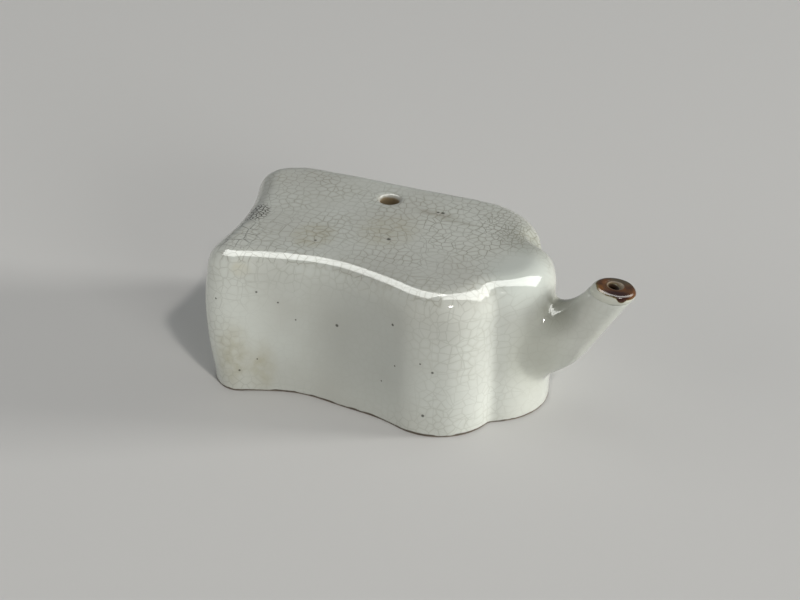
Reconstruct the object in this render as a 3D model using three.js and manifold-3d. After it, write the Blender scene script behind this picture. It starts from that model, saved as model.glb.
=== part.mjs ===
// Water dropper: a hollow, lobed box of luted clay slabs with a bent tube spout.
// Millimetres, +Z up. The origin is on the floor under the middle of the body, and +X points
// to the end with the spout. The front is towards -Y.

import * as THREE from 'three';
import { mergeVertices } from 'three/addons/utils/BufferGeometryUtils.js';
import Module from 'manifold-3d';

// Body: heights and thicknesses
const bodyHeight = 28.2;
const baseThickness = 3;
const topThickness = 3.2;
const wallThickness = 3;
const luteGap = 0.3; // slip joint between two luted pieces
const topEdgeRadius = 3.8;
const footChamfer = 0.5;

// Body: the lobes of its plan, each a circle, clockwise from the rear left corner
const rearLeftLobe = { x: -23.9, y: 13, radius: 7.9 };
const rearRightLobe = { x: 14.1, y: 8.7, radius: 12 };
const spoutBoss = { x: 20.2, y: -1.2, radius: 11.8 };
const frontRightLobe = { x: 14.2, y: -10.5, radius: 10.6 };
const frontLeftLobe = { x: -23.5, y: -16.1, radius: 5.1 };

// Body: radii of the hollow arcs that join each lobe to the next
const backHollow = 520;
const rearNotch = 2.5;
const frontNotch = 2.3;
const frontHollow = 40;
const leftHollow = 55;

// Body: the top rolls down softly over the boss
const shoulderRun = 6;
const shoulderDrop = 5;

// Vent hole in the top
const ventX = -4.7;
const ventY = 11.5;
const ventRadius = 2;

// Spout: a level root, a bend and a straight rise to a nearly level mouth
const spoutRootHeight = 10;
const bendInset = 4.7; // how far inside the boss's face the bend begins
const bendRadius = 9.6;
const riseAngle = THREE.MathUtils.degToRad(56.5);
const riseLength = 13.6; // straight stretch, from the bend to the lip
const spoutRootRadius = 4.3;
const spoutMouthRadius = 3.5;
const spoutSwell = 0.1; // fuller midway than an even taper
const boreRadius = 1.1;
const mouthTilt = THREE.MathUtils.degToRad(6);
const lipHeight = 1.4;
const lipBoreRadius = 1.5;

// Spout collar: luting clay smoothed into the corner between the boss and the spout
const collarEdge = 0.5; // thickness where it runs out
const collarHeight = 12.6; // middle of its print on the boss
const collarWidth = 7.6; // half width of the print
const collarRise = 8; // how far the print goes above its middle
const collarDrop = 7.4;
const collarReachOver = 8; // how far it runs along the spout from the corner, on top
const collarReachUnder = 1.6;
const collarPullOver = 0.3; // how strongly its curve is drawn into the corner, on top
const collarPullUnder = 0.8;

// Fineness of the curves
const chordError = 0.03;
const roundSides = 28;
const bendSteps = 14;
const collarSteps = 8;
const edgeSegments = 5;
const shoulderSteps = 12;
const crownSteps = 10;
const searchSteps = 30;

// Cutting blocks are larger than the whole object, and all cutters run past what they cut
const cutterSize = 300;
const cutterOverrun = 1;

const manifold = await Module();
manifold.setup();

const glaze = { color: 0xc8cac2, roughness: 0.18, metalness: 0 };
const bareClay = { color: 0xb3a68e, roughness: 0.85, metalness: 0 };
const ironDressing = { color: 0x5b3116, roughness: 0.3, metalness: 0 };

// Solids: closed geometries that can be joined and cut

function toSolid(geometry) {
  const bare = geometry.index ? geometry.toNonIndexed() : geometry.clone();
  bare.deleteAttribute('normal');
  bare.deleteAttribute('uv');
  const merged = mergeVertices(bare);
  return new manifold.Manifold(new manifold.Mesh({
    numProp: 3,
    vertProperties: merged.attributes.position.array,
    triVerts: new Uint32Array(merged.index.array),
  }));
}

function toGeometry(solid) {
  const mesh = solid.getMesh();
  const geometry = new THREE.BufferGeometry();
  geometry.setAttribute('position', new THREE.BufferAttribute(mesh.vertProperties, 3));
  geometry.setIndex(new THREE.BufferAttribute(mesh.triVerts, 1));
  geometry.computeVertexNormals();
  return geometry;
}

// A mesh whose own origin is at a point of the piece, placed there by its position
function makePiece(name, solid, finish, origin) {
  const geometry = toGeometry(solid).translate(-origin.x, -origin.y, -origin.z);
  const mesh = new THREE.Mesh(geometry, new THREE.MeshStandardMaterial(finish));
  mesh.name = name;
  mesh.position.copy(origin);
  return mesh;
}

// Plan outline: lobes joined by hollow arcs, moved inwards by an inset

function arcPoints(centre, radius, from, to) {
  const step = 2 * Math.acos(1 - Math.min(chordError / radius, 0.5));
  const count = Math.max(2, Math.ceil(Math.abs(to - from) / step));
  return Array.from({ length: count }, (_, i) => {
    const angle = from + ((to - from) * i) / count;
    return new THREE.Vector2(
      centre.x + radius * Math.cos(angle),
      centre.y + radius * Math.sin(angle),
    );
  });
}

// Centre of the hollow arc that touches two lobes, on the outer side of the line between them
function hollowCentre(lobe, next, radius) {
  const across = new THREE.Vector2(next.x - lobe.x, next.y - lobe.y);
  const span = across.length();
  const reach = lobe.radius + radius;
  const nextReach = next.radius + radius;
  const along = (reach ** 2 - nextReach ** 2 + span ** 2) / (2 * span);
  const out = Math.sqrt(reach ** 2 - along ** 2);
  across.normalize();
  return new THREE.Vector2(
    lobe.x + across.x * along - across.y * out,
    lobe.y + across.y * along + across.x * out,
  );
}

function angleFrom(centre, point) {
  return Math.atan2(point.y - centre.y, point.x - centre.x);
}

function outline(inset) {
  const lobes = [rearLeftLobe, rearRightLobe, spoutBoss, frontRightLobe, frontLeftLobe];
  const hollows = [backHollow, rearNotch, frontNotch, frontHollow, leftHollow];
  const following = (i) => lobes[(i + 1) % lobes.length];
  const centres = lobes.map((lobe, i) => hollowCentre(lobe, following(i), hollows[i]));
  const turn = 2 * Math.PI;
  return lobes.flatMap((lobe, i) => {
    const before = centres.at(i - 1);
    const after = centres[i];
    const lobeStart = angleFrom(lobe, before);
    const lobeSweep = (((angleFrom(lobe, after) - lobeStart) % turn) - turn) % turn;
    const hollowStart = angleFrom(after, lobe);
    const hollowEnd = angleFrom(after, following(i));
    const hollowSweep = (((hollowEnd - hollowStart) % turn) + turn) % turn;
    return [
      ...arcPoints(lobe, lobe.radius - inset, lobeStart, lobeStart + lobeSweep),
      ...arcPoints(after, hollows[i] + inset, hollowStart, hollowStart + hollowSweep),
    ];
  });
}

function prism(inset, bottom, top) {
  const shape = new THREE.Shape(outline(inset));
  const geometry = new THREE.ExtrudeGeometry(shape, { depth: top - bottom, bevelEnabled: false });
  return toSolid(geometry.translate(0, 0, bottom));
}

// A prism with both rims worked back by a bevel of the given size
function bevelledPrism(bottom, top, size, segments) {
  const shape = new THREE.Shape(outline(size));
  const geometry = new THREE.ExtrudeGeometry(shape, {
    depth: top - bottom - 2 * size,
    bevelThickness: size,
    bevelSize: size,
    bevelSegments: segments,
  });
  return toSolid(geometry.translate(0, 0, bottom + size));
}

// Cutting tools

function levelBlock(bottom, top) {
  const block = new THREE.BoxGeometry(cutterSize, cutterSize, top - bottom);
  return toSolid(block.translate(0, 0, (bottom + top) / 2));
}

function sideBlock(fromY, side) {
  const block = new THREE.BoxGeometry(cutterSize, cutterSize, cutterSize);
  return toSolid(block.translate(0, fromY + (side * cutterSize) / 2, 0));
}

const bossFace = spoutBoss.x + spoutBoss.radius;

// Everything under the shoulder: level, then a quarter oval down over the boss
function shoulderForm() {
  const shoulderStart = bodyHeight - shoulderDrop;
  const profile = new THREE.Path();
  profile.moveTo(bossFace + cutterOverrun, -cutterSize / 2);
  profile.lineTo(bossFace + cutterOverrun, shoulderStart);
  profile.lineTo(bossFace, shoulderStart);
  profile.absellipse(bossFace - shoulderRun, shoulderStart,
    shoulderRun, shoulderDrop, 0, Math.PI / 2, false);
  profile.lineTo(-cutterSize / 2, bodyHeight);
  profile.lineTo(-cutterSize / 2, -cutterSize / 2);
  const shape = new THREE.Shape(profile.getPoints(shoulderSteps));
  const geometry = new THREE.ExtrudeGeometry(shape, { depth: cutterSize, bevelEnabled: false });
  geometry.rotateX(Math.PI / 2);
  return toSolid(geometry.translate(0, cutterSize / 2, 0));
}

// Spout: a point and a direction at a distance along its middle line, from the bend's start

const bendStart = new THREE.Vector3(bossFace - bendInset, spoutBoss.y, spoutRootHeight);
const bendLength = bendRadius * riseAngle;
const spoutLength = bendLength + riseLength;
const level = new THREE.Vector3(0, 1, 0);

function middleLine(distance) {
  const angle = THREE.MathUtils.clamp(distance / bendRadius, 0, riseAngle);
  const direction = new THREE.Vector3(Math.cos(angle), 0, Math.sin(angle));
  const point = bendStart.clone();
  point.x += bendRadius * Math.sin(angle);
  point.z += bendRadius * (1 - Math.cos(angle));
  point.addScaledVector(direction, distance - angle * bendRadius);
  return { point, direction };
}

function spoutRadius(distance) {
  const share = THREE.MathUtils.clamp((distance - bendInset) / (spoutLength - bendInset), 0, 1);
  const taper = THREE.MathUtils.lerp(spoutRootRadius, spoutMouthRadius, share);
  return taper + spoutSwell * Math.sin(Math.PI * share);
}

// A point round the middle line, level across and square to the line
function roundPoint(distance, across, up, radius) {
  const { point, direction } = middleLine(distance);
  const raised = new THREE.Vector3().crossVectors(direction, level);
  return point.addScaledVector(level, across * radius).addScaledVector(raised, up * radius);
}

// A closed cylinder with every vertex moved: place gets its height share and unit section
function shapedCylinder(steps, place) {
  const geometry = new THREE.CylinderGeometry(1, 1, 1, roundSides, steps);
  const position = geometry.attributes.position;
  for (let i = 0; i < position.count; i += 1) {
    const moved = place(position.getY(i) + 0.5, position.getX(i), -position.getZ(i));
    position.setXYZ(i, moved.x, moved.y, moved.z);
  }
  return toSolid(geometry);
}

function bentRod(from, to, radiusAt) {
  return shapedCylinder(bendSteps, (share, across, up) => {
    const distance = THREE.MathUtils.lerp(from, to, share);
    return roundPoint(distance, across, up, radiusAt(distance));
  });
}

// The mouth: an oval cut, a little out of level, across the rising tube
const mouth = middleLine(spoutLength).point;
const mouthStretch = 1 / Math.cos(Math.PI / 2 - riseAngle - mouthTilt);

function belowMouth() {
  const block = new THREE.BoxGeometry(cutterSize, cutterSize, cutterSize);
  block.translate(0, 0, -cutterSize / 2);
  block.rotateY(mouthTilt);
  return toSolid(block.translate(mouth.x, mouth.y, mouth.z));
}

// The collar: each line along it leaves the boss, turns in the corner and runs on to the spout

const collarSkin = luteGap + collarEdge;

// X of the boss's face, grown by the collar's skin, at a given Y
function bossFaceAt(y) {
  const grown = spoutBoss.radius + collarSkin;
  return spoutBoss.x + Math.sqrt(Math.max(grown ** 2 - (y - spoutBoss.y) ** 2, 0));
}

// Distance along the middle line where one side of the spout comes out of the boss
function cornerDistance(across, up) {
  let low = -bendInset;
  let high = spoutLength;
  for (let i = 0; i < searchSteps; i += 1) {
    const middle = (low + high) / 2;
    const side = roundPoint(middle, across, up, spoutRadius(middle) + collarSkin);
    if (side.x < bossFaceAt(side.y)) low = middle;
    else high = middle;
  }
  return high;
}

// A rounded corner: a conic from one point to another, drawn towards the corner by its pull
function roundedCorner(from, corner, to, pull, share) {
  const near = (1 - share) ** 2;
  const at = 2 * pull * share * (1 - share);
  const far = share ** 2;
  return new THREE.Vector3()
    .addScaledVector(from, near)
    .addScaledVector(corner, at)
    .addScaledVector(to, far)
    .divideScalar(near + at + far);
}

function collarForm() {
  return shapedCylinder(collarSteps, (share, acrossShare, upShare) => {
    const spread = Math.hypot(acrossShare, upShare);
    const across = spread > 0 ? acrossShare / spread : 0;
    const up = spread > 0 ? upShare / spread : 0;
    const upward = (1 + up) / 2;
    const start = cornerDistance(across, up);
    const end = start + THREE.MathUtils.lerp(collarReachUnder, collarReachOver, upward);
    const pull = THREE.MathUtils.lerp(collarPullUnder, collarPullOver, upward);
    const inCorner = roundPoint(start, across, up, spoutRadius(start) + collarSkin);
    const aside = spoutBoss.y + across * collarWidth;
    const height = collarHeight + up * (up > 0 ? collarRise : collarDrop);
    const onBoss = new THREE.Vector3(bossFaceAt(aside), aside, height);
    const onSpout = roundPoint(end, across, up, spoutRadius(end) + collarSkin);
    const outside = (share * collarSteps - 1) / (collarSteps - 1);
    const rim = roundedCorner(onBoss, inCorner, onSpout, pull, Math.max(outside, 0));
    if (outside < 0) rim.x -= wallThickness;
    const core = middleLine(THREE.MathUtils.lerp(0, end, share)).point;
    return core.lerp(rim, spread);
  });
}

// Lip: a ring with a rounded crown and a flat underside
function lipForm() {
  const crown = new THREE.EllipseCurve(
    (spoutMouthRadius + lipBoreRadius) / 2, 0,
    (spoutMouthRadius - lipBoreRadius) / 2, lipHeight, 0, Math.PI,
  );
  const profile = crown.getPoints(crownSteps);
  profile.push(profile[0].clone());
  const geometry = new THREE.LatheGeometry(profile, roundSides);
  geometry.rotateX(Math.PI / 2);
  geometry.scale(mouthStretch, 1, 1);
  return toSolid(geometry);
}

// Pieces

const wallTop = bodyHeight - topThickness;
const aboveAll = bodyHeight + cutterOverrun;
const chamber = prism(wallThickness, baseThickness, wallTop);

// The body's outside, rounded at its top edge. The lower rim of the block is cut away
const crowned = bevelledPrism(-topEdgeRadius, bodyHeight, topEdgeRadius, edgeSegments)
  .intersect(shoulderForm());

const base = bevelledPrism(0, aboveAll, footChamfer, 1)
  .intersect(levelBlock(0, baseThickness));

const spoutSocket = bentRod(-bendInset, spoutLength, (d) => spoutRadius(d) + luteGap);
const wallBand = crowned
  .intersect(levelBlock(baseThickness + luteGap, wallTop - luteGap))
  .subtract(chamber)
  .subtract(spoutSocket);
const frontWall = wallBand.intersect(sideBlock(spoutBoss.y - luteGap / 2, -1));
const rearWall = wallBand.intersect(sideBlock(spoutBoss.y + luteGap / 2, 1));

const ventCutter = new THREE.CylinderGeometry(ventRadius, ventRadius, bodyHeight, roundSides);
ventCutter.rotateX(Math.PI / 2).translate(ventX, ventY, wallTop);
const top = crowned
  .intersect(levelBlock(wallTop, aboveAll))
  .subtract(toSolid(ventCutter));

const spoutEnd = bendInset - wallThickness; // flush with the inside of the boss's wall
const pastMouth = spoutLength + spoutMouthRadius;
const bore = bentRod(spoutEnd - cutterOverrun, pastMouth, () => boreRadius);
const spout = bentRod(spoutEnd, pastMouth, spoutRadius)
  .intersect(belowMouth())
  .subtract(bore);

const collar = collarForm()
  .subtract(spoutSocket)
  .subtract(prism(-luteGap, 0, aboveAll));

const bodyOrigin = new THREE.Vector3(0, 0, 0);
const lipOrigin = bodyOrigin; // the ring is made lying at the origin, then moved to the mouth
const wallOrigin = new THREE.Vector3(0, spoutBoss.y, baseThickness + luteGap);
const topOrigin = new THREE.Vector3(0, 0, wallTop);
const spoutOrigin = middleLine(bendInset).point;

const lip = makePiece('mouth_lip', lipForm(), ironDressing, lipOrigin);
lip.position.copy(mouth);
lip.rotation.y = mouthTilt;
lip.translateZ(luteGap);

const dropper = new THREE.Group();
dropper.add(
  makePiece('base_slab', base, bareClay, bodyOrigin),
  makePiece('front_wall', frontWall, glaze, wallOrigin),
  makePiece('rear_wall', rearWall, glaze, wallOrigin),
  makePiece('top_slab', top, glaze, topOrigin),
  makePiece('spout_tube', spout, glaze, spoutOrigin),
  makePiece('spout_collar', collar, glaze, spoutOrigin),
  lip,
);

export default dropper;
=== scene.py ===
"""Looks of the water dropper: a fired, crackle-glazed pot with a bare foot and a brown-dressed spout lip."""

import math

import bmesh
import bpy
from mathutils import Matrix, Vector, noise


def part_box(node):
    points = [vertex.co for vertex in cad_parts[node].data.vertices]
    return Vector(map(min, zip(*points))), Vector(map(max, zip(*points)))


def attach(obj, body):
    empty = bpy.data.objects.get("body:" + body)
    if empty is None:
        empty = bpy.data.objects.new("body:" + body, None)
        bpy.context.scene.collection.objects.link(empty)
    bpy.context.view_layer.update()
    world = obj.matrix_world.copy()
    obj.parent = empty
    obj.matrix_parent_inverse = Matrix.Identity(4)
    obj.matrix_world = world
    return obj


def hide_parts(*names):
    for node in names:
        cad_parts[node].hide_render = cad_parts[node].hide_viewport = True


MM = 0.001  # metres in a millimetre
SEED = 122  # the same hand-made unevenness on every run
noise.seed_set(SEED)

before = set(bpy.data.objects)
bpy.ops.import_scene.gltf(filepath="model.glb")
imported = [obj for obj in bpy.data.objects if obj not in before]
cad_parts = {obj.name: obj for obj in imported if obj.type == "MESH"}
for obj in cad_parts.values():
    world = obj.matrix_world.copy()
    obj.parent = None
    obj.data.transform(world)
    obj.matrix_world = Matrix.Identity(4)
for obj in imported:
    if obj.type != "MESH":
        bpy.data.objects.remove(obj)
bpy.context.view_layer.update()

# Body sizes, in millimetres, as in the solids
BODY_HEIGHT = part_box("top_slab")[1].z / MM
CHAMBER_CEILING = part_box("top_slab")[0].z / MM
CHAMBER_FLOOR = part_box("base_slab")[1].z / MM
WALL = 3.0

# Lobes of the plan, clockwise from the rear left: centre, radius and the hollow arc that follows
LOBES = [
    ((-23.9, 13.0), 7.9, 520.0),
    ((14.1, 8.7), 12.0, 2.5),
    ((20.2, -1.2), 11.8, 2.3),
    ((14.2, -10.5), 10.6, 40.0),
    ((-23.5, -16.1), 5.1, 55.0),
]
BOSS_CENTRE, BOSS_RADIUS = LOBES[2][0], LOBES[2][1]
BOSS_FACE = BOSS_CENTRE[0] + BOSS_RADIUS

# Rounding of the top edge: tight round most of the rim, softer at the spout's end
EDGE_RADIUS = 3.7
SOFT_EDGE_RADIUS = 5.2
SOFT_EDGE_FROM, SOFT_EDGE_TO = 8.0, 24.0
GLAZE_EDGE = 0.22  # the glaze stops this far above the table
GLAZE_BEAD = 0.08  # and rounds under by this much
WOBBLE = 0.1  # hand-made unevenness of the walls
WOBBLE_SPACING = 12.0

# Where hands pressed the clay out of true: place, reach and push
PRESSES = [
    ((-27.0, -20.0, 0.0), 7.0, (1.1, 0.3, 0.0)),
    ((-30.0, -16.0, 15.5), 10.5, (-0.8, 0.0, 0.0)),
    ((-27.0, 19.0, 28.0), 4.5, (0.15, -0.3, -0.35)),
    ((-20.0, 20.0, 28.0), 6.0, (0.0, -0.1, -0.25)),
    ((-30.0, -17.0, 26.0), 5.0, (0.25, 0.2, -0.2)),
    ((-1.0, -17.6, 0.0), 8.0, (0.0, -0.6, 0.0)),
    ((-11.0, -18.0, 0.0), 7.0, (0.0, 0.5, 0.0)),
    ((-6.0, -17.6, 28.0), 9.0, (0.0, 0.5, 0.0)),
    ((25.3, 10.4, 27.0), 2.5, (-0.7, -0.35, -0.3)),
    ((28.5, 6.3, 25.5), 4.0, (0.3, 0.2, 0.2)),
]
PRESS_FADE = 1.5  # how quickly a press dies away
PRESS_LIMIT = 2.0  # and after how many reaches it has

VENT = Vector((-4.7, 11.5))
VENT_RADIUS = 1.85
VENT_RIM = 0.45  # the glaze rounds the vent's rim

# Spout, as in the solids: a level root, a bend and a straight rise
SPOUT_ROOT_HEIGHT = 10.0
BEND_INSET = 4.7
BEND_RADIUS = 9.6
RISE = math.radians(56.5)
RISE_LENGTH = 13.6
ROOT_RADIUS = 4.3
MOUTH_RADIUS = 3.5
SWELL = 0.1  # the spout is this much fuller midway than an even taper
MOUTH_TILT = math.radians(6.0)
MOUTH_DIP = math.radians(2.0)  # the lip dips this much to the front
BORE_RADIUS = 1.1
FLARE_HEIGHT, FLARE_WIDTH = 14.0, 8.5  # the root's print on the boss: middle and half width
FLARE_RISE, FLARE_DROP = 7.6, 8.9  # and how far it goes above and below its middle
# How far the root runs along the spout and how strongly its curve is drawn into the corner
FLARE_REACH_OVER, FLARE_REACH_ASIDE, FLARE_REACH_UNDER = 9.4, 11.0, 1.4
FLARE_PULL_OVER, FLARE_PULL_ASIDE, FLARE_PULL_UNDER = 0.27, 0.12, 0.8
FLARE_SINK = WALL * 0.7  # the flare starts this deep inside the boss

# Lip: a rounded ring with a worn ring round its bore
LIP_HEIGHT = 1.4
LIP_ROUNDING = 1.1
LIP_LEAN = 0.8  # how much of the spout's slope the lip keeps
LIP_SINK = 0.5  # it reaches this far down into the spout
LIP_TUCK = 0.1  # and is this much narrower there
LIP_DISH = 0.1  # depth of the dish between its edge and the worn ring
LIP_WAVE, LIP_WAVE_SIZE = 0.12, 2.6  # how high its hand-made waves are, and how wide
RECESS_RADIUS = 1.35  # the worn ring round the bore
RECESS_SHIFT = (-0.25, 0.3)  # and how far it sits off the middle
RECESS_FROM, RECESS_TO = 2.3, 1.4  # the shift fades in between these radii
MOUTH_BORE = 0.9  # the dressing narrows the bore at the mouth

# The bare foot, from the table up: how far inside the plan, and at what height
FOOT_LEVELS = [(0.15, 0.0), (0.06, 0.08), (0.1, 0.22), (0.1, 1.2)]

# How finely the forms are drawn: millimetres between points, sides and steps
OUTLINE_SPACING, CHAMBER_SPACING = 0.7, 1.5
EDGE_STEPS = 8
VENT_SIDES, VENT_STEPS = 40, 6
SPOUT_SIDES, FLARE_STEPS, RISE_STEPS = 48, 12, 8
BORE_SIDES, BORE_STEPS = 24, 25
LIP_SIDES, LIP_STEPS = 64, 8
SKIN_GRAIN = 0.36  # edge length of the finished skin's faces
EASING_PASSES = 6
OVERLAP = 1.0  # a hidden end goes this far past the face that it meets

# Marks in the glaze: centre, radius, fade, stretch, strength and paint
STAINS = [
    ((-22.3, -21.0, 7.5), 0.6, 4.2, (1.0, 1.0, 2.0), 0.65, "#a09a7e"),
    ((-17.2, -19.4, 5.5), 0.4, 3.4, (1.0, 1.0, 2.0), 0.5, "#a19a7a"),
    ((-20.4, -20.6, 25.8), 0.7, 1.3, (1.4, 1.0, 1.0), 0.35, "#a79a70"),
    ((-12.0, -7.6, 28.0), 2.2, 3.0, (1.0, 1.2, 1.0), 0.45, "#a19b7f"),
    ((-0.2, -0.5, 28.0), 2.0, 4.0, (1.2, 1.4, 1.0), 0.4, "#a19b7f"),
    ((5.6, 9.4, 28.0), 0.8, 2.2, (2.0, 0.6, 1.0), 0.5, "#84806f"),
    ((10.5, 8.0, 28.0), 0.6, 2.0, (2.2, 0.5, 1.0), 0.4, "#84806f"),
]
MOTTLE_SIZE, MOTTLE_DETAIL = 1.9, 5.0
MOTTLE_LOW = 0.4  # a stain's weakest places have this share of its strength
# Where the glaze is greyer, paler or cooler, and painted shade and painted light: the same, without mottling
TONES_AND_PAINTED_LIGHT = [
    ((27.0, -4.0, 27.5), 3.0, 6.5, (1.0, 1.2, 0.8), 0.6, "#c0c7c1"),
    # Painted shade over the front's hollow, which faces away from the light
    ((3.0, -17.0, 14.0), 4.0, 12.0, (1.0, 1.0, 1.3), 0.55, "#999b96"),
    # Painted shade in the corner between spout and boss, where the glaze also pools greyer
    ((34.0, -1.5, 19.5), 1.5, 4.5, (1.0, 1.2, 1.0), 0.9, "#84867b"),
    # Painted shade on the side of the spout's root
    ((30.5, -6.5, 13.0), 2.0, 6.5, (1.0, 1.0, 1.6), 0.55, "#989a8e"),
    ((14.0, 5.0, 28.0), 4.0, 9.0, (1.2, 1.0, 1.0), 0.5, "#c8ccc5"),
    # Painted light on the front left corner
    ((-27.0, -17.0, 15.0), 4.0, 12.0, (1.0, 1.0, 1.4), 0.8, "#d4d8d1"),
    # Painted light low on the boss, under the spout
    ((28.0, -10.5, 4.5), 2.5, 5.0, (1.3, 1.3, 1.0), 0.35, "#d4d8d1"),
    # Darker round the notch between the boss and the rear lobe
    ((25.5, 8.0, 22.0), 2.0, 8.0, (1.0, 1.0, 1.5), 0.75, "#92968c"),
]
# Iron specks: centre and size
SPECKS = [
    ((-17.9, -19.6, 21.2), 0.35), ((-11.2, -17.9, 22.0), 0.3), ((-14.2, -18.4, 19.3), 0.25),
    ((-2.5, -17.5, 23.6), 0.28), ((-25.3, -21.0, 19.0), 0.25), ((-11.0, -17.8, 16.1), 0.25),
    ((-3.1, -17.4, 16.6), 0.42), ((8.5, -19.6, 20.8), 0.35), ((-21.1, -20.5, 4.5), 0.32),
    ((-18.0, -19.4, 7.0), 0.2), ((9.2, -19.8, 12.6), 0.25), ((-13.2, -18.2, 1.0), 0.4),
    ((6.3, -19.0, 8.2), 0.22), ((16.7, -20.9, 25.3), 0.25), ((16.7, -21.0, 13.6), 0.4),
    ((14.4, -21.1, 15.0), 0.22), ((15.2, -21.2, 4.3), 0.45), ((1.1, -3.4, 28.2), 0.5),
    ((-10.9, -9.1, 28.2), 0.32), ((6.5, 10.2, 28.2), 0.45), ((5.6, 10.1, 28.2), 0.35),
]
SPECK_CORE = 0.45  # the share of a speck's size that is darkest
SPECK_INK = 0.85

# Crackle nets: cell size, half width of a line and unevenness of the cells. Real cracks are under
# a tenth of a millimetre wide, and these lines are drawn wider so that they show.
FINE_NET = (1.6, 0.12, 0.8)
COARSE_NET = (3.4, 0.13, 0.9)
CLOSE_NET = (1.15, 0.11, 0.7)
SOOT_NET = (0.85, 0.2, 0.7)
WIDE_NET = (2.3, 0.2, 0.5)
HALO_NET = (1.6, 0.6, 0.8)  # stain that soaked in beside the fine cracks
# Ink that the cracks took up: cloud size and detail, weakest and strongest
FINE_INK = (8.0, 2.0, 0.1, 0.45)
COARSE_INK = (12.0, 2.0, 0.0, 0.4)
HALO_INK = (7.0, 2.0, 0.0, 0.22)
# Where the crackle is bolder, closer, sooty or wide: centre, radius, fade and stretch
BOLD_TOP = ((14.0, 6.0, 28.0), 6.0, 8.0)
CLOSE_CORNER = ((20.5, 11.5, 28.0), 5.0, 5.0)
SOOTY_EDGE = ((-25.3, -3.5, 27.6), 1.8, 1.3, (1.0, 1.4, 1.0))
WIDE_EDGE = ((-24.6, -12.5, 27.6), 2.6, 2.4, (1.0, 1.5, 1.0))
BOLD_INK, CLOSE_INK, SOOT_INK, WIDE_INK = 0.25, 0.6, 0.9, 0.5
# Where few cracks took up ink: on the front, on the boss, and towards the spout's end
CALM_FRONT = ((-4.0, -21.0, 12.0), 0.8, 0.4, (18.0, 5.5, 17.0))
CALM_BOSS = ((27.0, -4.0, 27.5), 3.0, 5.5, (1.0, 1.2, 0.8))
CALM_END_FROM, CALM_END_TO = 22.0, 32.0
FRONT_CALM, END_CALM = 0.8, 0.6
UPRIGHT_INK = 0.5  # the walls' cracks took up less ink than the top's
DRIFT, DRIFT_SIZE = 1.5, 4.5  # how far noise bends the nets, and over what distance
# The walls' nets give way to the top's, and the front's to the end's, between these slopes
TOP_FROM, TOP_TO = 0.55, 0.7
END_FROM, END_TO = 0.2, 0.4

GLAZE_ROUGHNESS = 0.07
GLAZE_RELIEF = 0.006  # depth of the glaze's ripple
RIPPLE_SIZE = 1.8
DRY_ROUGHNESS = 0.75  # what bare clay adds to the roughness
RIM_DRYNESS = 0.3  # the vent's rim is this dry, under a thin glaze
RAGGED = 0.12  # how far the edge between glaze and clay wanders up and down
FOOT_LINE_TOP, FOOT_LINE_FULL = 0.3, 0.1  # clay shows from here down, above the glaze's edge
VENT_CLAY_TOP, VENT_CLAY_FULL = 0.3, 0.9  # and in the vent from here down
STRAIGHT_DOWN = (1.0, 1.0, 1e4)  # the stretch of a patch that has no top or bottom

# Dressing of the lip, from the mouth's middle: centre, radius, fade and stretch
DRIP = ((2.5, -3.0, 0.4), 0.3, 0.8, (1.0, 1.0, 2.0))
OUTER_SIDE = ((3.6, 0.0, 0.0), 1.0, 4.0)
DRIP_DROP, OUTER_DROP = 0.6, 0.4  # how much lower the dressing reaches there
DRESSING_RAGGED = 0.06
DRESSING_REACH, DRESSING_FADE = 5.0, 0.5
OLIVE_FROM, OLIVE_TO = -0.4, -0.27  # its thin edge starts this far under the lip's top
BROWN_FROM, BROWN_TO = -0.3, -0.14  # and its full brown this far
# Where it is amber, near black or grey: the same, with strength and paint
LIP_TONES = [
    ((-2.6, -2.2, 0.8), 0.9, 1.2, (1.0, 1.0, 1.0), 1.0, "#7a4d16"),
    ((1.6, -2.4, 1.3), 0.7, 1.3, (1.6, 1.0, 1.0), 1.0, "#2a0a04"),
    ((0.6, 3.2, 1.0), 1.2, 1.6, (1.6, 1.0, 1.0), 1.0, "#4b4335"),
]
WORN_RING = (1.3, 0.25, (1.1, 1.0, 1.0))  # radius, fade and stretch of its dull ring
# The bore's painted shade and dressing: how deep its middle lies, its radius and its fade
THROAT_DEPTH, THROAT_RADIUS, THROAT_FADE = 2.2, 2.4, 0.4

# Lights: name, direction from the pot, distance, width and height in metres, radiance and colour
LAMP = ("lamp", (16.0, -14.0, 24.0), 3.0, 0.2, 0.2, 200.0, "#fffaf4")
# Soft light without a reflection of its own
FILLS = [
    ("window", (0.91, 0.37, 0.2), 2.0, 0.5, 0.6, 40.0, "#fffdf8"),
    ("front_fill", (0.75, -0.6, 0.3), 2.0, 0.8, 0.6, 8.5, "#fffdf8"),
    ("left_wall", (-0.85, -0.45, 0.28), 2.0, 1.8, 1.0, 1.9, "#fffaf2"),
]
# Panels that only the glaze's mirror sheen shows
SHEEN_PANELS = [
    ("left_panel", (-0.33, 0.1, 0.95), 1.0, 0.6, 0.7, 9.0, "#fdfffa"),
    ("right_panel", (0.44, 0.3, 0.8), 1.15, 0.6, 1.3, 8.0, "#fdfffa"),
]
SKY_STRENGTH = 0.26
FLOOR_REACH = 2000.0  # half the width of the paper that the pot stands on, in millimetres

# Camera: 90 mm lens about 0.4 m away, above and to the right of the front
VIEW_AZIMUTH = math.radians(20.83)
VIEW_PITCH = math.radians(30.23)
VIEW_ROLL = math.radians(1.5)
VIEW_TARGET = Vector((-6.21, 22.34, 0.0)) * MM
VIEW_DISTANCE = 400.0 * MM
LENS, SENSOR_WIDTH = 90.0, 36.0


def smooth_step(low, high, value):
    share = min(max((value - low) / (high - low), 0.0), 1.0)
    return share * share * (3.0 - 2.0 * share)


def mix(low, high, share):
    return low + (high - low) * share


def quarter_round(steps):
    """How far in and how far down each point of a rounded edge lies, as shares of its radius."""
    turns = [math.radians(90) * step / steps for step in range(steps + 1)]
    return [(1 - math.cos(turn), 1 - math.sin(turn)) for turn in turns]


# Plan outline


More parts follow.
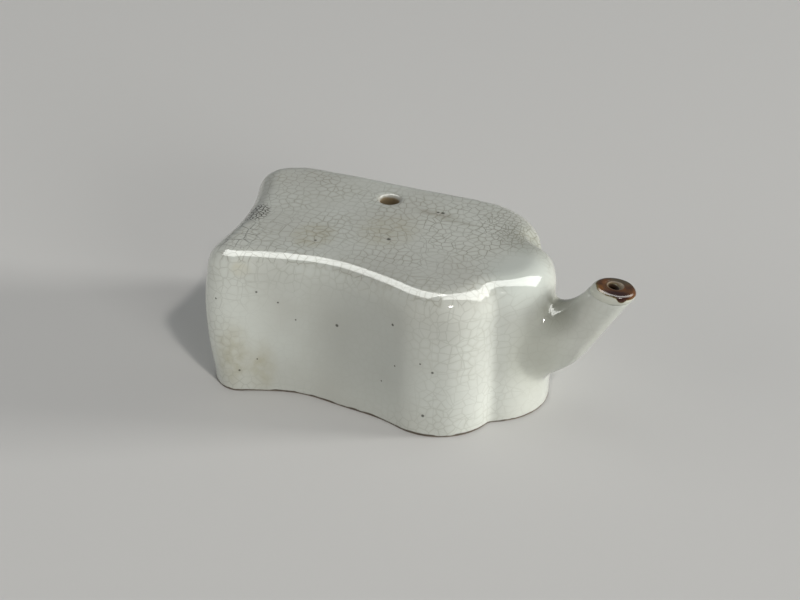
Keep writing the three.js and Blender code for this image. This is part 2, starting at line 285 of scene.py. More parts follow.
def hollow_centre(lobe, following):
    """Centre of the hollow arc that touches two lobes, on their outer side."""
    (centre, radius, hollow), (next_centre, next_radius, _) = lobe, following
    start, across = Vector(centre), Vector(next_centre) - Vector(centre)
    reach, next_reach, span = radius + hollow, next_radius + hollow, across.length
    along = (reach**2 - next_reach**2 + span**2) / (2 * span)
    out = math.sqrt(reach**2 - along**2)
    across.normalize()
    return start + across * along + Vector((-across.y, across.x)) * out


def plan_outline(spacing):
    """Points of the plan, each with its outward direction, in millimetres."""
    count = len(LOBES)
    hollows = [hollow_centre(LOBES[i], LOBES[(i + 1) % count]) for i in range(count)]
    outline = []
    for i, (centre, radius, hollow) in enumerate(LOBES):
        centre, before, after = Vector(centre), hollows[i - 1], hollows[i]
        following = Vector(LOBES[(i + 1) % count][0])
        arcs = (
            (centre, radius, before - centre, after - centre, -1),
            (after, hollow, centre - after, following - after, 1),
        )
        for middle, size, start, end, turn in arcs:
            begin = math.atan2(start.y, start.x)
            sweep = (turn * (math.atan2(end.y, end.x) - begin)) % math.tau
            steps = max(3, round(sweep * size / spacing))
            for step in range(steps):
                angle = begin + turn * sweep * step / steps
                out = Vector((math.cos(angle), math.sin(angle)))
                outline.append((middle + out * size, out * -turn))
    return outline


# Mesh helpers


def first_ring(bm, points):
    """A closed ring of edges through the points."""
    circle = bmesh.ops.create_circle(bm, cap_ends=False, segments=len(points), radius=1.0)
    ring = circle["verts"]
    for vert, point in zip(ring, points):
        vert.co = point
    return ring


def ring_edges(bm, ring):
    return [bm.edges.get((ring[i - 1], ring[i])) for i in range(len(ring))]


def next_ring(bm, ring, points):
    """The ring extruded once, with its new vertices at the points."""
    bmesh.ops.extrude_edge_only(bm, edges=ring_edges(bm, ring))
    bm.verts.ensure_lookup_table()
    fresh = [max((e.other_vert(v) for e in v.link_edges), key=lambda o: o.index) for v in ring]
    for vert, point in zip(fresh, points):
        vert.co = point
    return fresh


def lofted(rings):
    """Rings of points joined into one closed skin."""
    bm = bmesh.new()
    ring = first_ring(bm, rings[0])
    bmesh.ops.contextual_create(bm, geom=ring_edges(bm, ring))
    for points in rings[1:]:
        bm.verts.index_update()
        ring = next_ring(bm, ring, points)
    bmesh.ops.contextual_create(bm, geom=ring_edges(bm, ring))
    bmesh.ops.recalc_face_normals(bm, faces=bm.faces[:])
    return bm


def new_object(name, bm):
    """The bmesh, made in millimetres, as an object in metres."""
    bmesh.ops.scale(bm, vec=(MM, MM, MM), verts=bm.verts[:])
    mesh = bpy.data.meshes.new(name)
    bm.to_mesh(mesh)
    bm.free()
    obj = bpy.data.objects.new(name, mesh)
    bpy.context.scene.collection.objects.link(obj)
    return obj


def shade_smooth(obj):
    obj.data.polygons.foreach_set("use_smooth", [True] * len(obj.data.polygons))


def bake_modifiers(obj):
    """Modifiers turned into the object's own mesh."""
    graph = bpy.context.evaluated_depsgraph_get()
    mesh = bpy.data.meshes.new_from_object(obj.evaluated_get(graph))
    obj.modifiers.clear()
    old, obj.data = obj.data, mesh
    bpy.data.meshes.remove(old)


def combine(obj, others, operation):
    """obj joined with, or cut by, each other object, which is then removed."""
    for other in others:
        join = obj.modifiers.new(operation.lower(), "BOOLEAN")
        join.operation, join.object, join.solver = operation, other, "MANIFOLD"
    bake_modifiers(obj)
    for other in others:
        bpy.data.objects.remove(other)


# Body


def edge_radius(x):
    return mix(EDGE_RADIUS, SOFT_EDGE_RADIUS, smooth_step(SOFT_EDGE_FROM, SOFT_EDGE_TO, x))


def body_form():
    """The outside of the body, with its rounded top edge, closed all round."""
    outline = plan_outline(OUTLINE_SPACING)
    rings = [[(p.x, p.y, -OVERLAP) for p, _ in outline]]
    for inward, down in quarter_round(EDGE_STEPS):
        ring = []
        for point, out in outline:
            radius = edge_radius(point.x)
            inner = point - out * radius * inward
            ring.append((inner.x, inner.y, BODY_HEIGHT - radius * down))
        rings.append(ring)
    return new_object("glazed_body", lofted(rings))


def chamber_form():
    """The hollow inside, with plain walls."""
    outline = plan_outline(CHAMBER_SPACING)
    rings = [
        [(*(p - out * WALL), height) for p, out in outline]
        for height in (CHAMBER_FLOOR, CHAMBER_CEILING)
    ]
    return new_object("chamber", lofted(rings))


def vent_form():
    """The vent's hole, flared at the rim, down into the chamber."""
    profile = [(VENT_RADIUS, CHAMBER_CEILING - OVERLAP)]
    for outward, down in quarter_round(VENT_STEPS):
        profile.append((VENT_RADIUS + VENT_RIM * outward, BODY_HEIGHT - VENT_RIM * down))
    profile.append((VENT_RADIUS + VENT_RIM * 1.5, BODY_HEIGHT + OVERLAP))
    turns = [math.tau * i / VENT_SIDES for i in range(VENT_SIDES)]
    rings = [
        [(VENT.x + radius * math.cos(a), VENT.y + radius * math.sin(a), height) for a in turns]
        for radius, height in profile
    ]
    return new_object("vent", lofted(rings))


# Spout


def middle_line(distance):
    """Point and direction at a distance along the spout's middle line."""
    angle = min(max(distance / BEND_RADIUS, 0.0), RISE)
    direction = Vector((math.cos(angle), 0.0, math.sin(angle)))
    point = Vector((
        BOSS_FACE - BEND_INSET + BEND_RADIUS * math.sin(angle),
        BOSS_CENTRE[1],
        SPOUT_ROOT_HEIGHT + BEND_RADIUS * (1 - math.cos(angle)),
    ))
    return point + direction * (distance - angle * BEND_RADIUS), direction


SPOUT_LENGTH = BEND_RADIUS * RISE + RISE_LENGTH
MOUTH, MOUTH_DIRECTION = middle_line(SPOUT_LENGTH)
MOUTH_NORMAL = Vector((math.sin(MOUTH_TILT), 0.0, math.cos(MOUTH_TILT)))
MOUTH_STRETCH = 1 / MOUTH_NORMAL.dot(MOUTH_DIRECTION)
LIP_TURN = Matrix.Rotation(MOUTH_TILT, 4, "Y") @ Matrix.Rotation(MOUTH_DIP, 4, "X")


def spout_radius(distance):
    share = min(max((distance - BEND_INSET) / (SPOUT_LENGTH - BEND_INSET), 0.0), 1.0)
    return mix(ROOT_RADIUS, MOUTH_RADIUS, share) + SWELL * math.sin(math.pi * share)


def round_point(distance, angle, radius):
    """A point round the middle line: angle 0 is on the rear side, a quarter turn on is on top."""
    point, direction = middle_line(distance)
    raised = Vector((-direction.z, 0.0, direction.x))
    level = Vector((0.0, 1.0, 0.0))
    return point + level * (radius * math.cos(angle)) + raised * (radius * math.sin(angle))


def conic_shares(share, pull):
    """How much of its start, corner and end a rounded corner has at one share of its way."""
    near, at, far = (1 - share) ** 2, 2 * pull * share * (1 - share), share**2
    whole = near + at + far
    return near / whole, at / whole, far / whole


def boss_face(y):
    across = y - BOSS_CENTRE[1]
    return BOSS_CENTRE[0] + math.sqrt(max(BOSS_RADIUS**2 - across**2, 0.0))


def corner_distance(angle):
    """Where one side of the spout comes out of the boss, along the middle line, by halving."""
    low, high = -BEND_INSET, SPOUT_LENGTH
    for _ in range(30):
        middle = (low + high) / 2
        side = round_point(middle, angle, spout_radius(middle))
        if side.x < boss_face(side.y):
            low = middle
        else:
            high = middle
    return high


def spout_line(angle):
    """Points along one side of the spout, from inside the boss to the mouth's cut."""
    corner_at = corner_distance(angle)
    upward, sideways = (1 + math.sin(angle)) / 2, math.cos(angle) ** 2
    reach = mix(mix(FLARE_REACH_UNDER, FLARE_REACH_OVER, upward), FLARE_REACH_ASIDE, sideways)
    pull = mix(mix(FLARE_PULL_UNDER, FLARE_PULL_OVER, upward), FLARE_PULL_ASIDE, sideways)
    leave_at = corner_at + reach
    corner = round_point(corner_at, angle, spout_radius(corner_at))
    on_spout = round_point(leave_at, angle, spout_radius(leave_at))
    climb = FLARE_RISE if math.sin(angle) > 0 else FLARE_DROP
    aside = BOSS_CENTRE[1] + FLARE_WIDTH * math.cos(angle)
    on_boss = Vector((boss_face(aside), aside, FLARE_HEIGHT + climb * math.sin(angle)))
    line = [on_boss - Vector((FLARE_SINK, 0.0, 0.0))]
    for step in range(FLARE_STEPS + 1):
        near, at, far = conic_shares(step / FLARE_STEPS, pull)
        line.append(on_boss * near + corner * at + on_spout * far)
    side = round_point(SPOUT_LENGTH, angle, MOUTH_RADIUS)
    slide = (MOUTH - side).dot(MOUTH_NORMAL) / MOUTH_DIRECTION.dot(MOUTH_NORMAL)
    left = (SPOUT_LENGTH + slide - leave_at) / RISE_STEPS
    for step in range(1, RISE_STEPS):
        distance = leave_at + left * step
        line.append(round_point(distance, angle, spout_radius(distance)))
    line.append(side + MOUTH_DIRECTION * slide)
    return line


def spout_form():
    """The spout's outside, from inside the boss to the cut under its lip."""
    lines = [spout_line(math.tau * i / SPOUT_SIDES) for i in range(SPOUT_SIDES)]
    return new_object("spout", lofted(list(zip(*lines))))


def bore_form():
    """The narrow way through the spout into the chamber."""
    start, end = BEND_INSET - WALL - 2 * OVERLAP, SPOUT_LENGTH + MOUTH_RADIUS
    turns = [math.tau * i / BORE_SIDES for i in range(BORE_SIDES)]
    rings = [
        [round_point(mix(start, end, step / BORE_STEPS), turn, BORE_RADIUS) for turn in turns]
        for step in range(BORE_STEPS + 1)
    ]
    return new_object("bore", lofted(rings))


# Finishing the skin


def settle(point):
    """A point of the even form, in millimetres, moved to where the hand-made one has it."""
    moved = point + noise.noise_vector(point / WOBBLE_SPACING) * WOBBLE
    for place, reach, push in PRESSES:
        away = (point - Vector(place)).length / reach
        if away < PRESS_LIMIT:
            moved += Vector(push) * math.exp(-away * away * PRESS_FADE)
    return moved


def finish_skin(obj):
    """Even small faces all over, creases eased as melted glaze eases them, then the hand-made form."""
    remesh = obj.modifiers.new("grain", "REMESH")
    remesh.mode, remesh.voxel_size = "VOXEL", SKIN_GRAIN * MM
    bake_modifiers(obj)
    bm = bmesh.new()
    bm.from_mesh(obj.data)
    for _ in range(EASING_PASSES):
        bmesh.ops.smooth_vert(
            bm, verts=bm.verts[:], factor=0.5, use_axis_x=True, use_axis_y=True, use_axis_z=True
        )
    for vert in bm.verts:
        vert.co = settle(vert.co / MM) * MM

    # The glaze stops above the table in a small bead
    cut = bmesh.ops.bisect_plane(
        bm, geom=bm.verts[:] + bm.edges[:] + bm.faces[:], dist=1e-7,
        plane_co=(0, 0, GLAZE_EDGE * MM), plane_no=(0, 0, 1), clear_inner=True,
    )
    rim = [part for part in cut["geom_cut"] if isinstance(part, bmesh.types.BMEdge)]
    under = bmesh.ops.contextual_create(bm, geom=rim)["faces"]
    bmesh.ops.inset_region(
        bm, faces=under, thickness=GLAZE_BEAD * MM, depth=GLAZE_BEAD * MM, use_even_offset=True
    )
    bmesh.ops.recalc_face_normals(bm, faces=bm.faces[:])
    bm.to_mesh(obj.data)
    bm.free()


def glazed_body(glaze, clay):
    """The pot's glazed outside with its spout, vent and bore, and the bare chamber inside."""
    body = body_form()
    combine(body, [spout_form()], "UNION")
    combine(body, [vent_form(), bore_form()], "DIFFERENCE")
    body.data.materials.clear()
    finish_skin(body)
    chamber = chamber_form()
    for material in (glaze, clay):
        body.data.materials.append(material)
        chamber.data.materials.append(material)
    chamber.data.polygons.foreach_set("material_index", [1] * len(chamber.data.polygons))
    combine(body, [chamber], "DIFFERENCE")
    shade_smooth(body)
    return body


def brown_lip(dressing_material):
    """A rounded ring on the mouth's cut, dished towards the bore and leaning with the spout."""
    edge = MOUTH_RADIUS - LIP_ROUNDING
    profile = [
        (MOUTH_BORE, -LIP_SINK),
        (MOUTH_RADIUS - LIP_TUCK, -LIP_SINK),
        (MOUTH_RADIUS, -LIP_TUCK),
    ]
    for inward, down in quarter_round(LIP_STEPS):
        profile.append((MOUTH_RADIUS - LIP_ROUNDING * inward, LIP_HEIGHT - LIP_ROUNDING * down))

    # In over the dish, up on the worn ring and down into the bore
    profile += [
        (mix(edge, RECESS_RADIUS, 0.5), LIP_HEIGHT - LIP_DISH * 0.8),
        (RECESS_RADIUS + 0.25, LIP_HEIGHT - LIP_DISH),
        (RECESS_RADIUS, LIP_HEIGHT),
        (RECESS_RADIUS - 0.12, LIP_HEIGHT - 0.07),
        (MOUTH_BORE + 0.12, LIP_HEIGHT - 0.35),
        (MOUTH_BORE, LIP_HEIGHT - 0.65),
    ]
    bm = bmesh.new()
    verts = [bm.verts.new((r, 0.0, z)) for r, z in profile]
    edges = [bm.edges.new((verts[i - 1], verts[i])) for i in range(len(verts))]
    bmesh.ops.spin(
        bm, geom=verts + edges, cent=(0, 0, 0), axis=(0, 0, 1), angle=math.tau, steps=LIP_SIDES,
        use_merge=True,
    )
    bmesh.ops.remove_doubles(bm, verts=bm.verts[:], dist=1e-5)
    bmesh.ops.recalc_face_normals(bm, faces=bm.faces[:])

    # Worn ring off the middle, the whole stretched to the slanting cut, leaning and a little wavy
    lean = math.tan(math.radians(90) - RISE - MOUTH_TILT) * LIP_LEAN
    for vert in bm.verts:
        wave = noise.noise(Vector((vert.co.x, vert.co.y, 0.0)) / LIP_WAVE_SIZE)
        inner = smooth_step(RECESS_FROM, RECESS_TO, math.hypot(vert.co.x, vert.co.y))
        vert.co.x += RECESS_SHIFT[0] * inner
        vert.co.y += RECESS_SHIFT[1] * inner
        vert.co.x = vert.co.x * MOUTH_STRETCH + vert.co.z * lean
        vert.co.z += LIP_WAVE * wave * smooth_step(0.0, LIP_HEIGHT, vert.co.z)
    bmesh.ops.transform(bm, matrix=Matrix.Translation(MOUTH) @ LIP_TURN, verts=bm.verts[:])
    lip = new_object("brown_lip", bm)
    lip.data.materials.append(dressing_material)
    shade_smooth(lip)
    return lip


def bare_foot(clay):
    """The unglazed underside, a little inside the glaze's edge."""
    outline = plan_outline(OUTLINE_SPACING)
    rings = [
        [(*(p - out * inset), height) for p, out in outline] for inset, height in FOOT_LEVELS
    ]
    bm = lofted(rings)
    for vert in bm.verts:
        moved = settle(vert.co)
        vert.co = Vector((moved.x, moved.y, vert.co.z))
    foot = new_object("bare_foot", bm)
    foot.data.materials.append(clay)
    return foot


# Material helpers


def linear(hex_colour):
    """An sRGB hex colour as linear RGBA."""
    channels = [int(hex_colour[i : i + 2], 16) / 255 for i in (1, 3, 5)]
    return (*[c / 12.92 if c <= 0.04045 else ((c + 0.055) / 1.055) ** 2.4 for c in channels], 1.0)


def add_node(tree, kind, values, output=0):
    """One output of a new node with its settings and inputs, linked where a value is a socket."""
    node = tree.nodes.new("ShaderNode" + kind)
    for name, value in values.items():
        if isinstance(value, bpy.types.NodeSocket):
            tree.links.new(value, node.inputs[name])
        elif isinstance(name, str) and name in node.bl_rna.properties:
            setattr(node, name, value)
        else:
            node.inputs[name].default_value = value
    return node.outputs[output] if node.outputs else None


def new_material(name):
    """An empty material, its node tree and its object coordinates in millimetres."""
    material = bpy.data.materials.new(name)
    material.use_nodes = True
    tree = material.node_tree
    tree.nodes.clear()
    metres = add_node(tree, "TexCoord", {}, "Object")
    place = add_node(tree, "VectorMath", {"operation": "SCALE", 0: metres, "Scale": 1 / MM})
    return material, tree, place


def finish_material(tree, values):
    shader = add_node(tree, "BsdfPrincipled", values)
    add_node(tree, "OutputMaterial", {"Surface": shader})


SMOOTH = {"interpolation_type": "SMOOTHSTEP"}  # a share that climbs from 0 to 1 without a corner


def strongest(tree, *layers):
    """The strongest of several layers, each the product of its shares."""
    most = 0.0
    for share, *others in layers:
        for other in others:
            share = add_node(tree, "Math", {"operation": "MULTIPLY", 0: share, 1: other})
        most = add_node(tree, "Math", {"operation": "MAXIMUM", 0: share, 1: most})
    return most


def painted(tree, colour, *coats):
    """A colour under coats of paint, each a hex value and the shares whose product lays it on."""
    for paint, *shares in coats:
        share = strongest(tree, shares)
        # A colour mix takes its two colours at sockets 6 and 7 and gives the result at 2
        colour = add_node(
            tree, "Mix", {"data_type": "RGBA", 0: share, 6: colour, 7: linear(paint)}, 2
        )
    return colour


def patch(tree, place, centre, radius, fade, stretch=(1.0, 1.0, 1.0)):
    """1 within the radius of a centre, fading to 0, in a space squeezed by the stretch."""
    away = add_node(tree, "VectorMath", {"operation": "SUBTRACT", 0: place, 1: centre})
    squeezed = add_node(tree, "VectorMath", {"operation": "DIVIDE", 0: away, 1: stretch})
    distance = add_node(tree, "VectorMath", {"operation": "LENGTH", 0: squeezed}, "Value")
    return add_node(
        tree, "MapRange",
        {**SMOOTH, "Value": distance, "From Min": radius + fade, "From Max": radius},
    )


def tone_coats(tree, place, tones):
    """One coat of paint for each tone of a table."""
    return [(paint, patch(tree, place, *spot), strength) for *spot, strength, paint in tones]


def clouds(tree, place, size, detail, low=0.0, high=1.0):
    """Soft noise of this size, in millimetres, from low to high."""
    fog = add_node(tree, "TexNoise", {"Vector": place, "Scale": 1 / size, "Detail": detail})
    return add_node(
        tree, "MapRange",
        {
            **SMOOTH, "Value": fog,
            "From Min": 0.3, "From Max": 0.7, "To Min": low, "To Max": high,
        },
    )


# Crackle


def drifted(tree, place):
    """Places shifted a little by noise, so that straight lines between them wander."""
    drift = add_node(tree, "TexNoise", {"Vector": place, "Scale": 1 / DRIFT_SIZE, "Detail": 1.0}, 1)
    shift = add_node(
        tree, "VectorMath",
        {"operation": "MULTIPLY_ADD", 0: drift, 1: (DRIFT,) * 3, 2: (-DRIFT / 2,) * 3},
    )
    return add_node(tree, "VectorMath", {"operation": "ADD", 0: place, 1: shift})


def cracks(tree, plane, cell, half_width, unevenness):
    """1 on the lines of a crackle net with cells of this size, in millimetres."""
    distance = add_node(
        tree, "TexVoronoi",
        {
            "voronoi_dimensions": "2D", "feature": "DISTANCE_TO_EDGE", "Vector": plane,
            "Scale": 1 / cell, "Randomness": unevenness,
        },
        "Distance",
    )
    return add_node(
        tree, "MapRange",
        {**SMOOTH, "Value": distance, "From Min": half_width / cell, "From Max": 0.0},
    )


def crack_planes(tree, place):
    """The surface laid flat three ways, from above, the front and the end, and each way's ink."""
    parts = add_node(tree, "SeparateXYZ", {0: place}).node.outputs
    planes = [
        add_node(tree, "CombineXYZ", {0: parts[across], 1: parts[up]})
        for across, up in ((0, 1), (0, 2), (1, 2))
    ]
    normal = add_node(tree, "NewGeometry", {}, "Normal")
    slopes = add_node(tree, "VectorMath", {"operation": "ABSOLUTE", 0: normal})
    facing = add_node(tree, "SeparateXYZ", {0: slopes}).node.outputs
    top = add_node(
        tree, "MapRange", {**SMOOTH, "Value": facing[2], "From Min": TOP_FROM, "From Max": TOP_TO}
    )
    walls = add_node(
        tree, "MapRange",
        {
            **SMOOTH, "Value": facing[2],
            "From Min": TOP_TO, "From Max": TOP_FROM, "To Max": UPRIGHT_INK,
        },
    )
    lean = add_node(tree, "Math", {"operation": "SUBTRACT", 0: facing[0], 1: facing[1]})
    endwise = add_node(
        tree, "MapRange", {**SMOOTH, "Value": lean, "From Min": END_FROM, "From Max": END_TO}
    )
    end = add_node(tree, "Math", {"operation": "MULTIPLY", 0: walls, 1: endwise})
    front = add_node(tree, "Math", {"operation": "SUBTRACT", 0: walls, 1: end})
    return list(zip(planes, (top, front, end)))


def wrapped_cracks(tree, planes, net):
    """A crackle net that follows the surface round, one plane at a time."""
    whole = 0.0
    for plane, ink in planes:
        whole = add_node(
            tree, "Math",
            {"operation": "MULTIPLY_ADD", 0: cracks(tree, plane, *net), 1: ink, 2: whole},
        )
    return whole


def crackle(tree, place, bent):
    """Shares of the crackle's lines, of the stain beside them and of the sooty lines at the left."""
    planes = crack_planes(tree, bent)
    top = planes[0][0]
    along = add_node(tree, "SeparateXYZ", {0: place})
    calm_end = add_node(
        tree, "MapRange",
        {**SMOOTH, "Value": along, "From Min": CALM_END_FROM, "From Max": CALM_END_TO},
    )
    calm = strongest(
        tree,
        (patch(tree, place, *CALM_FRONT), FRONT_CALM),
        (patch(tree, place, *CALM_BOSS),),
        (calm_end, END_CALM),
    )
    awake = add_node(tree, "Math", {"operation": "SUBTRACT", 0: 1.0, 1: calm})
    fine_ink = add_node(
        tree, "Math",
        {
            "operation": "MULTIPLY_ADD", 0: patch(tree, place, *BOLD_TOP), 1: BOLD_INK,
            2: clouds(tree, place, *FINE_INK),
        },
    )
    lines = strongest(
        tree,
        (wrapped_cracks(tree, planes, FINE_NET), fine_ink, awake),
        (wrapped_cracks(tree, planes, COARSE_NET), clouds(tree, place, *COARSE_INK), awake),
        (cracks(tree, top, *CLOSE_NET), patch(tree, place, *CLOSE_CORNER), CLOSE_INK),
    )
    halo_ink = clouds(tree, place, *HALO_INK)
    halo = strongest(tree, (wrapped_cracks(tree, planes, HALO_NET), halo_ink, awake))
    dark_lines = strongest(
        tree,
        (cracks(tree, top, *SOOT_NET), patch(tree, place, *SOOTY_EDGE), SOOT_INK),
        (cracks(tree, top, *WIDE_NET), patch(tree, place, *WIDE_EDGE), WIDE_INK),
    )
    return lines, halo, dark_lines


# Other marks of the glaze and the dressing


def iron_specks(tree, place):
    """The share of the iron specks, each darkest in its middle."""
    nearest = 1.0
    for centre, size in SPECKS:
        away = add_node(tree, "VectorMath", {"operation": "DISTANCE", 0: place, 1: centre}, "Value")
        away = add_node(tree, "Math", {"operation": "DIVIDE", 0: away, 1: size})
        nearest = add_node(tree, "Math", {"operation": "MINIMUM", 0: nearest, 1: away})
    return add_node(
        tree, "MapRange",
        {
            **SMOOTH, "Value": nearest,
            "From Min": 1.0, "From Max": SPECK_CORE, "To Max": SPECK_INK,
        },
    )


def bare_edges(tree, place):
    """Shares of the clay line along the foot, of the clay inside the vent and of the vent's rim."""
    height = add_node(tree, "SeparateXYZ", {0: place}, 2)
    wander = clouds(tree, place, 3.0, 2.0, -RAGGED, RAGGED)
    ragged = add_node(tree, "Math", {"operation": "ADD", 0: height, 1: wander})
    foot_line, vent_depth = [
        add_node(tree, "MapRange", {**SMOOTH, "Value": ragged, "From Min": start, "From Max": full})
        for start, full in (
            (GLAZE_EDGE + FOOT_LINE_TOP, GLAZE_EDGE + FOOT_LINE_FULL),
            (BODY_HEIGHT - VENT_CLAY_TOP, BODY_HEIGHT - VENT_CLAY_FULL),
        )
    ]
    vent_inside, vent_rim = [
        patch(tree, place, (*VENT, 0.0), VENT_RADIUS + spare, fade, STRAIGHT_DOWN)
        for spare, fade in ((0.3, 0.2), (0.35, 0.3))
    ]
    return foot_line, strongest(tree, (vent_inside, vent_depth)), vent_rim


def dressing(tree, place):
    """Shares of the dressing's thin olive edge and of its full brown, near the spout's mouth."""
    from_mouth = add_node(tree, "VectorMath", {"operation": "SUBTRACT", 0: place, 1: tuple(MOUTH)})
    along = add_node(
        tree, "VectorMath",
        {"operation": "DOT_PRODUCT", 0: from_mouth, 1: tuple(LIP_TURN.col[2].xyz)},
        "Value",
    )
    level = add_node(tree, "Math", {"operation": "SUBTRACT", 0: along, 1: LIP_HEIGHT})
    for share, drop in (
        (patch(tree, from_mouth, *DRIP), DRIP_DROP),
        (patch(tree, from_mouth, *OUTER_SIDE), OUTER_DROP),
        (clouds(tree, place, 1.3, 2.0, -1.0, 1.0), DRESSING_RAGGED),
    ):
        level = add_node(tree, "Math", {"operation": "MULTIPLY_ADD", 0: share, 1: drop, 2: level})
    near = patch(tree, place, tuple(MOUTH), DRESSING_REACH, DRESSING_FADE)
    coverage = []
    for start, full in ((OLIVE_FROM, OLIVE_TO), (BROWN_FROM, BROWN_TO)):
        covered = add_node(
            tree, "MapRange", {**SMOOTH, "Value": level, "From Min": start, "From Max": full}
        )
        coverage.append(strongest(tree, (covered, near)))
    return coverage


def bore_dressing_and_shade(tree, place):
    """1 inside the bore's last few millimetres: dressing that ran in, painted dark as the bore's shade."""
    down = middle_line(SPOUT_LENGTH - THROAT_DEPTH)[0]
    mouth = (MOUTH.x + 0.15 + RECESS_SHIFT[0], MOUTH.y + RECESS_SHIFT[1], MOUTH.z + 0.1)
    return strongest(
        tree,
        (patch(tree, place, tuple(down), THROAT_RADIUS, THROAT_FADE),),
        (patch(tree, place, mouth, BORE_RADIUS, 0.15, (MOUTH_STRETCH, 1.0, 1.3)),),
    )


# Materials


def crackle_glaze():
    """Milky grey-white feldspar glaze, fired glossy: it mirrors lights sharply over stained crackle."""
    material, tree, place = new_material("crackle_glaze")
    bent = drifted(tree, place)
    lines, halo, dark_lines = crackle(tree, place, bent)
    foot_line, vent_clay, vent_rim = bare_edges(tree, place)
    olive, brown = dressing(tree, place)
    stains = []
    for *spot, strength, paint in STAINS:
        low = strength * MOTTLE_LOW
        mottle = clouds(tree, bent, MOTTLE_SIZE, MOTTLE_DETAIL, low, strength)
        stains.append((paint, patch(tree, place, *spot), mottle))
    colour = painted(
        tree, linear("#b6b8b1"),
        ("#c0c4be", clouds(tree, place, 15.0, 3.0)),
        # The glaze's tones, with painted shade and painted light among them
        *tone_coats(tree, place, TONES_AND_PAINTED_LIGHT),
        *stains,
        ("#8d8873", halo),
        ("#5f5a4a", lines),
        ("#37322c", dark_lines),
        ("#35322c", iron_specks(tree, place)),
        ("#8f8c84", vent_rim, 0.5),
        ("#7d6d52", vent_clay),
        ("#5d564d", foot_line),
        ("#6b6138", olive),
        ("#4a2208", brown),
        # Painted dark inside the bore: dressing that ran in, and the bore's shade
        ("#2e2015", bore_dressing_and_shade(tree, place)),
    )
    ripple = clouds(tree, place, RIPPLE_SIZE, 2.0)
    relief = add_node(tree, "Math", {"operation": "SUBTRACT", 0: ripple, 1: lines})
    dry = strongest(tree, (vent_rim, RIM_DRYNESS), (vent_clay,), (foot_line,))
    finish_material(tree, {
        "Base Color": colour,
        "Roughness": add_node(
            tree, "Math",
            {"operation": "MULTIPLY_ADD", 0: dry, 1: DRY_ROUGHNESS, 2: GLAZE_ROUGHNESS},
        ),
        "IOR": 1.5,
        "Normal": add_node(tree, "Bump", {"Height": relief, "Distance": GLAZE_RELIEF * MM}),
    })
    return material


def bare_clay():
    """Dry, unglazed stoneware, fired warm brown: matt and finely gritty."""
    material, tree, place = new_material("bare_clay")
    colour = painted(
        tree, linear("#6f6659"),
        ("#958a79", clouds(tree, place, 0.7, 3.0)),
        ("#564e45", clouds(tree, place, 9.0, 2.0, 0.0, 0.6)),
    )
    grit = clouds(tree, place, 0.35, 2.0)
    finish_material(tree, {
        "Base Color": colour,
        "Roughness": 0.88,
        "IOR": 1.5,
        "Normal": add_node(tree, "Bump", {"Height": grit, "Distance": 0.04 * MM}),
    })
    return material


def iron_dressing():
    """Iron-rich slip under the glaze, fired brown: near black where it pools, amber where thin."""
    material, tree, place = new_material("iron_dressing")
    from_mouth = add_node(tree, "VectorMath", {"operation": "SUBTRACT", 0: place, 1: tuple(MOUTH)})
    middle = (
        LIP_HEIGHT * (math.sin(MOUTH_TILT) + 0.35) + RECESS_SHIFT[0], RECESS_SHIFT[1], LIP_HEIGHT
    )
    ring = patch(tree, from_mouth, middle, *WORN_RING)
    thin, bare = [
        add_node(tree, "Math", {"operation": "SUBTRACT", 0: 1.0, 1: share})
        for share in reversed(dressing(tree, place))
    ]
    colour = painted(
        tree, linear("#3d2412"),
        ("#5d3a1c", clouds(tree, place, 1.8, 3.0)),
        *tone_coats(tree, from_mouth, LIP_TONES),
        ("#62533c", ring),
        ("#6b6138", thin),
        ("#babcb2", bare),
        # Painted dark inside the bore: dressing that ran in, and the bore's shade
        ("#3a2a1c", bore_dressing_and_shade(tree, place)),
    )
    finish_material(tree, {
        "Base Color": colour,
        "Roughness": add_node(tree, "Math", {"operation": "MULTIPLY_ADD", 0: ring, 1: 0.4, 2: 0.2}),
        "IOR": 1.5,
    })
    return material


def pale_paper():
    """Matt backdrop paper, evenly pale."""
    material, tree, _ = new_material("pale_paper")
    finish_material(tree, {"Base Color": linear("#c4c4c3"), "Roughness": 0.85})
    return material


# Stage


def plain_floor():
    bm = bmesh.new()
    bmesh.ops.create_grid(bm, x_segments=1, y_segments=1, size=FLOOR_REACH)
    floor = new_object("floor", bm)
    floor.data.materials.append(pale_paper())


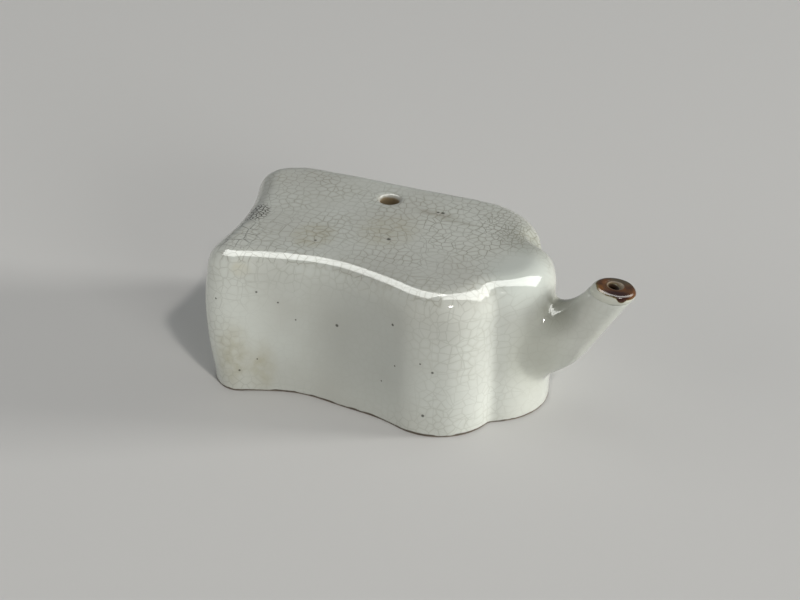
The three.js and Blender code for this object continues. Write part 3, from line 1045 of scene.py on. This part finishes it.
def area_light(name, toward, distance, width, height, radiance, colour):
    """A panel seen from the object in one direction; its power follows from its radiance."""
    light = bpy.data.lights.new(name, "AREA")
    light.shape, light.size, light.size_y = "RECTANGLE", width, height
    light.energy, light.color = radiance * math.pi * width * height, linear(colour)[:3]
    obj = bpy.data.objects.new(name, light)
    toward = Vector(toward).normalized()
    obj.location = toward * distance
    obj.rotation_euler = toward.to_track_quat("Z", "Y").to_euler()
    bpy.context.scene.collection.objects.link(obj)
    return obj


def studio():
    world = bpy.data.worlds.new("studio")
    world.use_nodes = True
    background = world.node_tree.nodes["Background"]
    background.inputs["Color"].default_value = linear("#e2e6ea")
    background.inputs["Strength"].default_value = SKY_STRENGTH
    bpy.context.scene.world = world
    bpy.context.scene.view_settings.view_transform = "Standard"
    area_light(*LAMP)
    for fill in FILLS:
        area_light(*fill).visible_glossy = False
    for panel in SHEEN_PANELS:
        area_light(*panel).visible_diffuse = False


def camera():
    toward = Vector((
        math.sin(VIEW_AZIMUTH) * math.cos(VIEW_PITCH),
        -math.cos(VIEW_AZIMUTH) * math.cos(VIEW_PITCH),
        math.sin(VIEW_PITCH),
    ))
    right = Vector((math.cos(VIEW_AZIMUTH), math.sin(VIEW_AZIMUTH), 0.0))
    up = toward.cross(right)
    across = right * math.cos(VIEW_ROLL) + up * math.sin(VIEW_ROLL)
    rise = up * math.cos(VIEW_ROLL) - right * math.sin(VIEW_ROLL)
    data = bpy.data.cameras.new("camera")
    data.lens, data.sensor_width = LENS, SENSOR_WIDTH
    obj = bpy.data.objects.new("camera", data)
    turn = Matrix((across, rise, toward)).transposed().to_4x4()
    obj.matrix_world = Matrix.Translation(VIEW_TARGET + toward * VIEW_DISTANCE) @ turn
    bpy.context.scene.collection.objects.link(obj)
    bpy.context.scene.camera = obj


plain_floor()
studio()
camera()

clay = bare_clay()
body = glazed_body(crackle_glaze(), clay)
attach(body, "root")
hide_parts("front_wall", "rear_wall", "top_slab", "spout_tube", "spout_collar")

lip = brown_lip(iron_dressing())
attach(lip, "root")
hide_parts("mouth_lip")

foot = bare_foot(clay)
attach(foot, "root")
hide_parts("base_slab")
